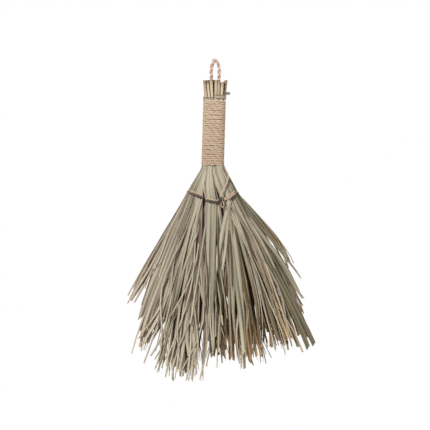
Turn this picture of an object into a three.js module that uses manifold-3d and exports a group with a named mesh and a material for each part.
// A hand broom of dried palm leaf, hanging by its cord loop. Millimetres, +Z up, the broom's front faces -Y.
// The origin is the underside of the top of the loop, where a hook bears.
import * as THREE from "three";
import { mergeVertices } from "three/addons/utils/BufferGeometryUtils.js";
import Module from "manifold-3d";

const wasm = await Module();
wasm.setup();

// Clearances
const SEAT_GAP = 0.3; // between pieces that touch on the real broom
const FLEX_GAP = 0.6; // between the stalk ends and the blades that turn in them
const SWING_GAP = 0.5; // between the stalk tops and the loop that swings over them
const TWINE_CLEARANCE = 0.6; // between the sloping leaves and the twine laid round them

// Leaf stalks
const STALK_WIDTH = 3.1;
const STALK_DEPTH = 4.6;
const TOP_FLARE = 1.5; // growth of the column pitch from the winding to the cut tops
const STALK_TOP_SPREAD = 3.2; // the cut tops stand at uneven heights
const STALK_SIDES = 8;

// Hanging loop
const CORD_DIAMETER = 3;
const LOOP_HEIGHT = 22.5; // from the stalk tops to the underside of the cord
const LOOP_BULGE = 0.3; // how far the legs bow out
const TAIL_LENGTH = 42; // cord buried between the stalks
const LOOP_LEG = [
  [1, 0],
  [1, 0.36],
  [0.92, 0.68],
  [0.5, 0.91],
]; // one leg from the foot up: shares of the foot's distance from the middle, and of the height
const BULGE_POINT = 1; // the leg bows out at its second point
const CORD_SIDES = 8;

// Handle
const HANDLE_LEAN = 4; // sideways, from the loop to the foot of the winding
const STALK_HEAD = 29; // stalk showing between the loop and the winding
const WINDING_TWINE = 2.75;
const WINDING_TURNS = 31;
const WINDING_SEGMENTS = 24;
const BAND_WIDTH = 4.4;
const BAND_THICKNESS = 1.1;
const BAND_RISE = 3.9; // the strip climbs as it goes once round
const BAND_TURN = 0.96; // share of the way round
const BAND_STEPS = 36;
const BAND_END_LENGTH = 6.2;
const BAND_END_HEIGHT = 3.4;
const BAND_END_THICKNESS = 2.2;

// Fan of leaf blades
const FLEX_MARGIN = 3.05; // the blades turn on a cylinder this much larger than half the grip's depth
const NECK_CLEAR = 2; // from the foot of the winding to the top of that cylinder
const NECK_LENGTH = 47; // from the foot of the winding to the foot of the binding
const BINDING_HALF_WIDTH = 39;
const BUNDLE_GAP = 4.2; // between the three bundles at the binding
const GAP_LENGTH = 70; // the gaps between the bundles close this far below the binding
const BINDING_ROW_SPREAD = 3.1; // growth of the row pitch from the winding to the binding
const FAN_REACH = 231; // the longest strip of leaf, below the binding
const FAN_FLARE = 115; // half-width that the fan gains far below the binding
const FAN_CURVE = 118; // length over which the leaves curve downwards
const ROW_SPREAD = 0.044; // growth of the row pitch for each millimetre below the binding
const CROWN = 0.32; // how much the rows close up at the edges of the fan
const BLADE_GAP = 0.5;
const BLADE_TIP_THICKNESS = 1.6;
const PLEAT_DEPTH = 2.4;
const NOTCH_DEPTH = 48; // the blades split into strips this far below the binding
const ROOT_THICKNESS_SHARE = 0.6; // of the depth that a blade has for itself in the neck
const STRIP_WIDTHS = [0.97, 0.88, 0.5]; // from the notch to the tip, as shares of an even split
const STRIP_REACH = [0.94, 1, 0.97, 0.9]; // lengths of a blade's strips, as shares of its reach

// Binding twine
const NATURAL_TWINE = 2.2;
const DARK_TWINE = 2.8;
const BINDING_SAG = 15; // the middle of the binding hangs below its ends
const BINDING_STEPS = 56;
const TWINE_SIDES = 6;
const KNOT_WIDTH = 5.2;
const KNOT_HEIGHT = 6.4;
const BOW_DIAMETER = 4.6;
const BOW_TWINE = 1.7;
const BRIDLE_EDGE_POINTS = [
  [-20, 2],
  [-60, 5.5],
]; // way round the neck in degrees, and how far below the start
const BRIDLE_FRONT_POINTS = [
  [2.3, 6],
  [1.6, 3],
]; // column, and height above the binding

// Rows and columns of the stalks: row 1 is the front, columns run from left to right, and reach is the length
// of the blade's longest strip, as a share of the fan's reach.
const LEAVES = [
  { row: 1, column: -2.5, reach: 0.85 },
  { row: 1, column: -1.5, reach: 0.96 },
  { row: 1, column: -0.5, reach: 1 },
  { row: 1, column: 0.5, reach: 0.9 },
  { row: 1, column: 1.5, reach: 0.9 },
  { row: 1, column: 2.5, reach: 0.84 },
  { row: 0, column: -3, reach: 0.64 },
  { row: 0, column: -2, reach: 0.87 },
  { row: 0, column: 0, reach: 0.91 },
  { row: 0, column: 2, reach: 0.86 },
  { row: 0, column: 3, reach: 0.81 },
  { row: -1, column: -2.5, reach: 0.77 },
  { row: -1, column: -1.5, reach: 0.90 },
  { row: -1, column: -0.5, reach: 0.92 },
  { row: -1, column: 0.5, reach: 0.88 },
  { row: -1, column: 1.5, reach: 0.86 },
  { row: -1, column: 2.5, reach: 0.82 },
];
const ROW_NAMES = { 1: "front", 0: "middle", "-1": "back" };
const TAIL_COLUMN = 1; // the cord tails take the places left free in the middle row

// Sizes that follow from those above
const EDGE_COLUMN = Math.max(...LEAVES.map((leaf) => leaf.column)) + 0.5;
const GRIP_COLUMN_PITCH = Math.max(STALK_WIDTH, CORD_DIAMETER) + SEAT_GAP;
const GRIP_ROW_PITCH = STALK_DEPTH + SEAT_GAP;
const ROWS_TO_FACE = 1.5; // from the middle of the three rows to the front face, in row pitches
const FLEX_RADIUS = ROWS_TO_FACE * GRIP_ROW_PITCH + FLEX_MARGIN;
const STRIPS_PER_BLADE = STRIP_REACH.length;

// Levels, from the loop downwards
const STALK_TOP_Z = -LOOP_HEIGHT;
const LOOP_PIVOT_Z = STALK_TOP_Z + CORD_DIAMETER / 2 + SWING_GAP;
const WINDING_TOP_Z = STALK_TOP_Z - STALK_HEAD;
const WINDING_FOOT_Z = WINDING_TOP_Z - WINDING_TURNS * WINDING_TWINE;
const FLEX_Z = WINDING_FOOT_Z - NECK_CLEAR - FLEX_RADIUS - FLEX_GAP;
const BINDING_Z = WINDING_FOOT_Z - NECK_LENGTH;

const lerp = THREE.MathUtils.lerp;
const share = (value, from, to) => THREE.MathUtils.clamp((value - from) / (to - from), 0, 1);

// The broom's form: where each row and column of leaves lies at a level
function axisX(z) {
  return -HANDLE_LEAN * share(z, 0, WINDING_FOOT_Z);
}

function halfWidth(z) {
  const drop = Math.max(0, BINDING_Z - z);
  return BINDING_HALF_WIDTH + FAN_FLARE * (1 - Math.exp(-drop / FAN_CURVE));
}

function bundleGap(z) {
  return BUNDLE_GAP * share(z, WINDING_FOOT_Z, BINDING_Z) * share(z, BINDING_Z - GAP_LENGTH, BINDING_Z);
}

function columnPitch(z) {
  if (z > WINDING_TOP_Z) return GRIP_COLUMN_PITCH + TOP_FLARE * share(z, WINDING_TOP_Z, STALK_TOP_Z);
  const fanPitch = (halfWidth(z) - bundleGap(z)) / EDGE_COLUMN;
  return lerp(GRIP_COLUMN_PITCH, fanPitch, share(z, WINDING_FOOT_Z, BINDING_Z));
}

function rowPitch(z, column) {
  const inFan = share(z, WINDING_FOOT_Z, BINDING_Z);
  const drop = Math.max(0, BINDING_Z - z);
  const crown = 1 - CROWN * inFan * (column / EDGE_COLUMN) ** 2;
  return (GRIP_ROW_PITCH + BINDING_ROW_SPREAD * inFan + ROW_SPREAD * drop) * crown;
}

function bundleOf(column) {
  return Math.abs(column) < TAIL_COLUMN ? 0 : Math.sign(column);
}

function leafCentre({ row, column }, z) {
  const x = axisX(z) + column * columnPitch(z) + bundleOf(column) * bundleGap(z);
  return new THREE.Vector2(x, -row * rowPitch(z, column));
}

// Mesh helpers
function bend(geometry, place) {
  const position = geometry.getAttribute("position");
  const point = new THREE.Vector3();
  for (let i = 0; i < position.count; i++) {
    point.fromBufferAttribute(position, i);
    const moved = place(point);
    position.setXYZ(i, moved.x, moved.y, moved.z);
  }
  return geometry;
}

function solidOf(geometry) {
  const bare = geometry.clone();
  bare.deleteAttribute("normal");
  bare.deleteAttribute("uv");
  const merged = mergeVertices(bare, 1e-3);
  return new wasm.Manifold(
    new wasm.Mesh({
      numProp: 3,
      vertProperties: new Float32Array(merged.getAttribute("position").array),
      triVerts: new Uint32Array(merged.index.array),
    }),
  );
}

function geometryOf(solid) {
  const mesh = solid.getMesh();
  const geometry = new THREE.BufferGeometry();
  geometry.setAttribute("position", new THREE.BufferAttribute(mesh.vertProperties, 3));
  geometry.setIndex(new THREE.BufferAttribute(mesh.triVerts, 1));
  geometry.computeVertexNormals();
  return geometry;
}

function roundSection(diameter, sides) {
  const outline = [];
  for (let i = 0; i < sides; i++) {
    const angle = (i / sides) * 2 * Math.PI;
    outline.push(new THREE.Vector2(Math.cos(angle), Math.sin(angle)).multiplyScalar(diameter / 2));
  }
  return new THREE.Shape(outline);
}

function cordAlong(points, diameter, sides, stepLength = 2 * diameter) {
  const path = new THREE.CatmullRomCurve3(points);
  const steps = Math.max(2, Math.ceil(path.getLength() / stepLength));
  return new THREE.ExtrudeGeometry(roundSection(diameter, sides), {
    steps,
    extrudePath: path,
    bevelEnabled: false,
  });
}

// A closed ring of twine: a ring of round section laid along a closed curve
function ringAlong(points, diameter, sides, steps) {
  const path = new THREE.CatmullRomCurve3(points, true);
  const frames = path.computeFrenetFrames(steps, true);
  const spots = path.getSpacedPoints(steps);
  const ring = new THREE.TorusGeometry(2, 1, sides, steps);
  return bend(ring, (p) => {
    const along = Math.atan2(p.y, p.x);
    const step = Math.round(((along < -1e-6 ? along + 2 * Math.PI : along) / (2 * Math.PI)) * steps) % steps;
    const out = Math.hypot(p.x, p.y) - 2;
    return spots[step]
      .clone()
      .addScaledVector(frames.normals[step], (-out * diameter) / 2)
      .addScaledVector(frames.binormals[step], (p.z * diameter) / 2);
  });
}

// The surface in the neck on which the blades turn in the stalk ends
function flexLevel(radius, y) {
  return FLEX_Z + Math.sqrt(Math.max(0, radius ** 2 - y ** 2));
}

// A round stem whose rings of points stand at given levels, from the foot up
function stem(sides, width, depth, levelsAt, centreAt) {
  const steps = levelsAt(0).length - 1;
  const geometry = new THREE.CylinderGeometry(0.5, 0.5, 1, sides, steps).rotateX(Math.PI / 2);
  return bend(geometry, (p) => {
    const z = levelsAt(p.y * depth)[Math.round((p.z + 0.5) * steps)];
    const centre = centreAt(z);
    return new THREE.Vector3(centre.x + p.x * width, centre.y + p.y * depth, z);
  });
}

function stalk(leaf, topZ) {
  const footY = leafCentre(leaf, FLEX_Z + FLEX_RADIUS).y;
  const levelsAt = (y) => [
    flexLevel(FLEX_RADIUS + FLEX_GAP, footY + y),
    WINDING_FOOT_Z,
    WINDING_TOP_Z,
    topZ,
  ];
  return stem(STALK_SIDES, STALK_WIDTH, STALK_DEPTH, levelsAt, (z) => leafCentre(leaf, z));
}

// The stalk bundle's outline: the point of the convex outline that faces a direction, moved out by an offset
function bundlePoint(angle, offset, z) {
  const facing = new THREE.Vector2(Math.cos(angle), Math.sin(angle));
  const half = new THREE.Vector2(STALK_WIDTH / 2, STALK_DEPTH / 2);
  let furthest = -Infinity;
  let found = null;
  for (const leaf of LEAVES) {
    const centre = leafCentre(leaf, z);
    const reach = Math.hypot(half.x * facing.x, half.y * facing.y);
    const support = centre.dot(facing) + reach;
    if (support > furthest) {
      furthest = support;
      const toFace = new THREE.Vector2(half.x ** 2 * facing.x, half.y ** 2 * facing.y).divideScalar(reach);
      found = centre.add(toFace);
    }
  }
  return found.addScaledVector(facing, offset);
}

function winding() {
  const inner = 1;
  const profile = [new THREE.Vector2(inner, WINDING_FOOT_Z)];
  for (let turn = 0; turn < WINDING_TURNS; turn++) {
    const foot = WINDING_FOOT_Z + turn * WINDING_TWINE;
    profile.push(new THREE.Vector2(inner + WINDING_TWINE / 2, foot));
    profile.push(new THREE.Vector2(inner + WINDING_TWINE, foot + WINDING_TWINE / 2));
  }
  profile.push(new THREE.Vector2(inner + WINDING_TWINE / 2, WINDING_TOP_Z));
  profile.push(new THREE.Vector2(inner, WINDING_TOP_Z));
  profile.push(profile[0].clone());
  const seamAngle = Math.PI / 2 + Math.PI / WINDING_SEGMENTS;
  const sleeve = new THREE.LatheGeometry(profile, WINDING_SEGMENTS, seamAngle).rotateX(Math.PI / 2);
  return bend(sleeve, (p) => {
    const offset = Math.hypot(p.x, p.y) - inner + SEAT_GAP;
    const spot = bundlePoint(Math.atan2(p.y, p.x), offset, p.z);
    return new THREE.Vector3(spot.x, spot.y, p.z);
  });
}

// The strip of leaf starts at the front, goes left and round the back, and ends higher up at the front.
const BAND_FOOT_Z = WINDING_TOP_Z + SEAT_GAP;

function bandLevel(along) {
  return BAND_FOOT_Z + BAND_WIDTH / 2 + BAND_RISE * along;
}

function leafBand() {
  const strip = new THREE.BoxGeometry(1, 1, 1, BAND_STEPS, 1, 1);
  return bend(strip, (p) => {
    const along = 0.5 - p.x;
    const angle = -Math.PI / 2 - (0.5 - BAND_TURN / 2 + along * BAND_TURN) * 2 * Math.PI;
    const z = bandLevel(along) + p.z * BAND_WIDTH;
    const spot = bundlePoint(angle, SEAT_GAP + (0.5 - p.y) * BAND_THICKNESS, z);
    return new THREE.Vector3(spot.x, spot.y, z);
  });
}

function bandEnd() {
  const z = bandLevel(1) + BAND_WIDTH / 2 + SEAT_GAP + BAND_END_HEIGHT / 2;
  const rootX = bundlePoint(0, SEAT_GAP, z).x;
  const fold = new THREE.CylinderGeometry(0.5, 0.5, 1, STALK_SIDES, 2).rotateZ(-Math.PI / 2);
  return bend(fold, (p) => {
    const along = p.x + 0.5;
    const flatten = lerp(1, 0.7, along);
    return new THREE.Vector3(
      rootX + along * BAND_END_LENGTH,
      p.y * BAND_END_THICKNESS,
      z + p.z * BAND_END_HEIGHT * flatten,
    );
  });
}

// Hanging loop
function loopLegX(side) {
  const pitch = columnPitch(LOOP_PIVOT_Z);
  return axisX(LOOP_PIVOT_Z) + side * TAIL_COLUMN * pitch;
}

function hangingLoop() {
  const rise = CORD_DIAMETER / 2 - LOOP_PIVOT_Z;
  const left = loopLegX(-1);
  const right = loopLegX(1);
  const leg = (footX, side) =>
    LOOP_LEG.map(([out, height], index) => {
      const x = out * footX + (index === BULGE_POINT ? side * LOOP_BULGE : 0);
      return new THREE.Vector3(x, 0, LOOP_PIVOT_Z + height * rise);
    });
  const apex = new THREE.Vector3(0, 0, CORD_DIAMETER / 2);
  const points = [...leg(left, -1), apex, ...leg(right, 1).reverse()];
  let solid = solidOf(cordAlong(points, CORD_DIAMETER, CORD_SIDES, CORD_DIAMETER));
  for (const x of [left, right]) {
    const end = new THREE.SphereGeometry(CORD_DIAMETER / 2, CORD_SIDES, 6).translate(x, 0, LOOP_PIVOT_Z);
    solid = solid.add(solidOf(end));
  }
  return geometryOf(solid);
}

function loopTail(side) {
  const topZ = LOOP_PIVOT_Z - CORD_DIAMETER / 2 - SEAT_GAP;
  const levelsAt = () => [topZ - TAIL_LENGTH, WINDING_TOP_Z, topZ];
  const centreAt = (z) => new THREE.Vector2(axisX(z) + side * TAIL_COLUMN * columnPitch(z), 0);
  return stem(CORD_SIDES, CORD_DIAMETER, CORD_DIAMETER, levelsAt, centreAt);
}

// One pleated blade: rings of points from the stalk end down to the tips, whole above the notch and
// split into strips below it. Each strip's two edges lie on opposite sides of the pleat.
function blade(leaf) {
  const ringCount = 7;
  const notchRing = 3;
  const widthShare = [1, 1, 1, 1, ...STRIP_WIDTHS];
  const positions = [];
  const indices = [];

  function corner(strip, edge, ring, face) {
    const reach = FAN_REACH * leaf.reach * STRIP_REACH[strip];
    const below = [BINDING_Z, BINDING_Z - NOTCH_DEPTH];
    const split = share(ring, notchRing, ringCount - 1);
    let z = FLEX_Z;
    if (ring >= 2) z = below[Math.min(ring - 2, 1)] - split * (reach - NOTCH_DEPTH);
    const middle = (strip + 0.5) / STRIPS_PER_BLADE - 0.5;
    const across = middle + ((edge - 0.5) * widthShare[ring]) / STRIPS_PER_BLADE;
    const side = (strip + edge) % 2 ? 1 : -1;

    function spot(level) {
      const centre = leafCentre(leaf, level);
      const halfDepth = (rowPitch(level, leaf.column) - BLADE_GAP) / 2;
      const rootShare = share(level, BINDING_Z - NOTCH_DEPTH, FLEX_Z);
      const thickness = lerp(BLADE_TIP_THICKNESS, ROOT_THICKNESS_SHARE * 2 * halfDepth, rootShare);
      const pleat = Math.min(PLEAT_DEPTH, halfDepth - thickness / 2);
      const x = centre.x + across * (columnPitch(level) - BLADE_GAP);
      return new THREE.Vector3(x, centre.y + side * pleat + (face - 0.5) * thickness, level);
    }

    if (ring > 0) return spot(z);
    const root = spot(FLEX_Z + FLEX_RADIUS);
    return spot(flexLevel(FLEX_RADIUS, root.y));
  }

  const number = new Map();
  function vertex(strip, edge, ring, face) {
    const key = [strip, edge, ring, face].join();
    if (!number.has(key)) {
      number.set(key, positions.length / 3);
      positions.push(...corner(strip, edge, ring, face).toArray());
    }
    return number.get(key);
  }

  function quad(a, b, c, d) {
    indices.push(a, b, c, a, c, d);
  }

  for (let strip = 0; strip < STRIPS_PER_BLADE; strip++) {
    const at = (edge, ring, face) => vertex(strip, edge, ring, face);
    for (let ring = 0; ring < ringCount - 1; ring++) {
      quad(at(0, ring, 0), at(0, ring + 1, 0), at(1, ring + 1, 0), at(1, ring, 0));
      quad(at(0, ring, 1), at(1, ring, 1), at(1, ring + 1, 1), at(0, ring + 1, 1));
      if (strip === 0 || ring >= notchRing) {
        quad(at(0, ring, 0), at(0, ring, 1), at(0, ring + 1, 1), at(0, ring + 1, 0));
      }
      if (strip === STRIPS_PER_BLADE - 1 || ring >= notchRing) {
        quad(at(1, ring, 0), at(1, ring + 1, 0), at(1, ring + 1, 1), at(1, ring, 1));
      }
    }
    const tip = ringCount - 1;
    quad(at(0, 0, 0), at(1, 0, 0), at(1, 0, 1), at(0, 0, 1));
    quad(at(0, tip, 0), at(0, tip, 1), at(1, tip, 1), at(1, tip, 0));
  }

  const geometry = new THREE.BufferGeometry();
  geometry.setAttribute("position", new THREE.Float32BufferAttribute(positions, 3));
  geometry.setIndex(indices);
  return mergeVertices(geometry, 1e-3);
}

// The fan's outline at a level, from the corners of the cells that hold its blades
function fanPoint(angle, offset, z) {
  const facing = new THREE.Vector2(Math.cos(angle), Math.sin(angle));
  let furthest = -Infinity;
  let found = null;
  for (const leaf of LEAVES) {
    const centre = leafCentre(leaf, z);
    const cell = new THREE.Vector2(columnPitch(z), rowPitch(z, leaf.column)).subScalar(BLADE_GAP);
    const quarter = new THREE.Vector2(Math.sign(facing.x), Math.sign(facing.y));
    const corner = centre.add(cell.divideScalar(2).multiply(quarter));
    if (corner.dot(facing) > furthest) {
      furthest = corner.dot(facing);
      found = corner;
    }
  }
  return found.addScaledVector(facing, offset);
}

// The level of a binding twine that lies a given way below the binding's top edge
function bindingLevel(x, below) {
  const across = (x - axisX(BINDING_Z)) / BINDING_HALF_WIDTH;
  return BINDING_Z + BINDING_SAG * Math.min(1, across ** 2) + NATURAL_TWINE + DARK_TWINE - below;
}

function bindingTwine(diameter, below) {
  const points = [];
  const samples = 40;
  const halfDepth = ROWS_TO_FACE * rowPitch(BINDING_Z, 0);
  for (let i = 0; i < samples; i++) {
    const turn = ((i + 0.5) / samples) * 2 * Math.PI;
    const angle = Math.atan2(Math.sin(turn) / halfDepth, Math.cos(turn) / BINDING_HALF_WIDTH);
    const near = fanPoint(angle, 0, BINDING_Z);
    const z = bindingLevel(near.x, below);
    const spot = fanPoint(angle, diameter / 2 + TWINE_CLEARANCE, z - diameter / 2);
    points.push(new THREE.Vector3(spot.x, spot.y, z));
  }
  return ringAlong(points, diameter, TWINE_SIDES, BINDING_STEPS);
}

const NATURAL_BELOW = NATURAL_TWINE / 2;
const DARK_BELOW = NATURAL_TWINE + SEAT_GAP + DARK_TWINE / 2;

function gapX(side, z) {
  return axisX(z) + side * (TAIL_COLUMN * columnPitch(z) + bundleGap(z) / 2);
}

function stitch(side) {
  const z = bindingLevel(gapX(side, BINDING_Z), NATURAL_BELOW);
  const half = ROWS_TO_FACE * rowPitch(z, TAIL_COLUMN) - SEAT_GAP;
  const ends = [new THREE.Vector3(gapX(side, z), -half, z), new THREE.Vector3(gapX(side, z), half, z)];
  return cordAlong(ends, NATURAL_TWINE, TWINE_SIDES, half);
}

// The front of the dark twine at the right-hand gap, where the knot sits
function knotSeat() {
  const x = gapX(1, BINDING_Z);
  const z = bindingLevel(x, DARK_BELOW);
  const front = fanPoint(-Math.PI / 2, DARK_TWINE + TWINE_CLEARANCE, z - DARK_TWINE / 2).y;
  return new THREE.Vector3(x, front, z);
}

function knot() {
  const seat = knotSeat();
  const lump = new THREE.SphereGeometry(0.5, 10, 7);
  return bend(lump, (p) => {
    return new THREE.Vector3(
      seat.x + p.x * KNOT_WIDTH,
      seat.y - SEAT_GAP + (p.y - 0.5) * KNOT_WIDTH,
      seat.z + p.z * KNOT_HEIGHT,
    );
  });
}

function bow() {
  const seat = knotSeat();
  const ring = new THREE.TorusGeometry((BOW_DIAMETER - BOW_TWINE) / 2, BOW_TWINE / 2, TWINE_SIDES, 12);
  const drop = (KNOT_HEIGHT + BOW_DIAMETER) / 2 + SEAT_GAP;
  return ring.rotateX(Math.PI / 2).translate(seat.x, seat.y - KNOT_WIDTH / 2, seat.z - drop);
}

// The twine from the foot of the winding, down the right edge of the neck and across to the knot
function neckEdge(z, offset) {
  return new THREE.Vector3(fanPoint(0, offset, z).x, 0, z);
}

function bridleUpper() {
  const offset = NATURAL_TWINE / 2 + SEAT_GAP;
  const topZ = WINDING_FOOT_Z - NATURAL_TWINE / 2 - SEAT_GAP;
  const footZ = FLEX_Z + NATURAL_TWINE / 2 + SEAT_GAP;
  const levels = [topZ, (topZ + footZ) / 2, footZ];
  const points = levels.map((z) => neckEdge(z - NATURAL_TWINE / 2, offset).setZ(z));
  return cordAlong(points, NATURAL_TWINE, TWINE_SIDES);
}

// A point in front of the fan's front row, at a column and a level
function frontPoint(column, offset, z) {
  const x = axisX(z) + column * columnPitch(z) + bundleOf(column) * bundleGap(z);
  return new THREE.Vector3(x, -ROWS_TO_FACE * rowPitch(z, TAIL_COLUMN) - offset, z);
}

function bridleLower() {
  const offset = NATURAL_TWINE / 2 + TWINE_CLEARANCE;
  const seat = knotSeat();
  const startZ = FLEX_Z - NATURAL_TWINE / 2 - SEAT_GAP;
  const points = [neckEdge(startZ - NATURAL_TWINE / 2, offset).setZ(startZ)];
  for (const [angle, drop] of BRIDLE_EDGE_POINTS) {
    const z = startZ - drop;
    const spot = fanPoint(THREE.MathUtils.degToRad(angle), offset, z - NATURAL_TWINE / 2);
    points.push(new THREE.Vector3(spot.x, spot.y, z));
  }
  for (const [column, height] of BRIDLE_FRONT_POINTS) {
    const x = frontPoint(column, offset, BINDING_Z).x;
    points.push(frontPoint(column, offset, bindingLevel(x, 0) + height));
  }
  const endZ = seat.z + KNOT_HEIGHT / 2 + SEAT_GAP + NATURAL_TWINE / 2;
  points.push(new THREE.Vector3(seat.x, seat.y - SEAT_GAP - KNOT_WIDTH / 2, endZ));
  return cordAlong(points, NATURAL_TWINE, TWINE_SIDES);
}

// Materials, one made for each piece
const FINISHES = {
  stalk: { color: 0xb6a38e, roughness: 0.8, metalness: 0 },
  leaf: { color: 0x98907a, roughness: 0.7, metalness: 0 },
  strip: { color: 0xbdae98, roughness: 0.7, metalness: 0 },
  twine: { color: 0xc3ab93, roughness: 0.9, metalness: 0 },
  darkTwine: { color: 0x4a3d34, roughness: 0.9, metalness: 0 },
  cord: { color: 0xc8a98c, roughness: 0.9, metalness: 0 },
};

const broom = new THREE.Group();

function addPiece(name, geometry, finish) {
  const piece = new THREE.Mesh(geometry, new THREE.MeshStandardMaterial(FINISHES[finish]));
  piece.name = name;
  broom.add(piece);
}

const countInRow = {};
LEAVES.forEach((leaf, index) => {
  const row = ROW_NAMES[leaf.row];
  countInRow[row] = (countInRow[row] || 0) + 1;
  const unevenness = 0.5 + 0.5 * Math.sin(2.4 * index * index + index);
  const topZ = STALK_TOP_Z - STALK_TOP_SPREAD * unevenness;
  addPiece(`stalk_${row}_${countInRow[row]}`, stalk(leaf, topZ), "stalk");
  addPiece(`blade_${row}_${countInRow[row]}`, blade(leaf), "leaf");
});

addPiece("handle_winding", winding(), "twine");
addPiece("leaf_band", leafBand(), "strip");
addPiece("leaf_band_end", bandEnd(), "strip");
addPiece("hanging_loop", hangingLoop(), "cord");
addPiece("loop_tail_left", loopTail(-1), "cord");
addPiece("loop_tail_right", loopTail(1), "cord");
addPiece("binding_twine_natural", bindingTwine(NATURAL_TWINE, NATURAL_BELOW), "twine");
addPiece("binding_twine_dark", bindingTwine(DARK_TWINE, DARK_BELOW), "darkTwine");
addPiece("stitch_left", stitch(-1), "twine");
addPiece("stitch_right", stitch(1), "twine");
addPiece("binding_knot", knot(), "twine");
addPiece("binding_bow", bow(), "twine");
addPiece("bridle_upper", bridleUpper(), "twine");
addPiece("bridle_lower", bridleLower(), "twine");

export default broom;
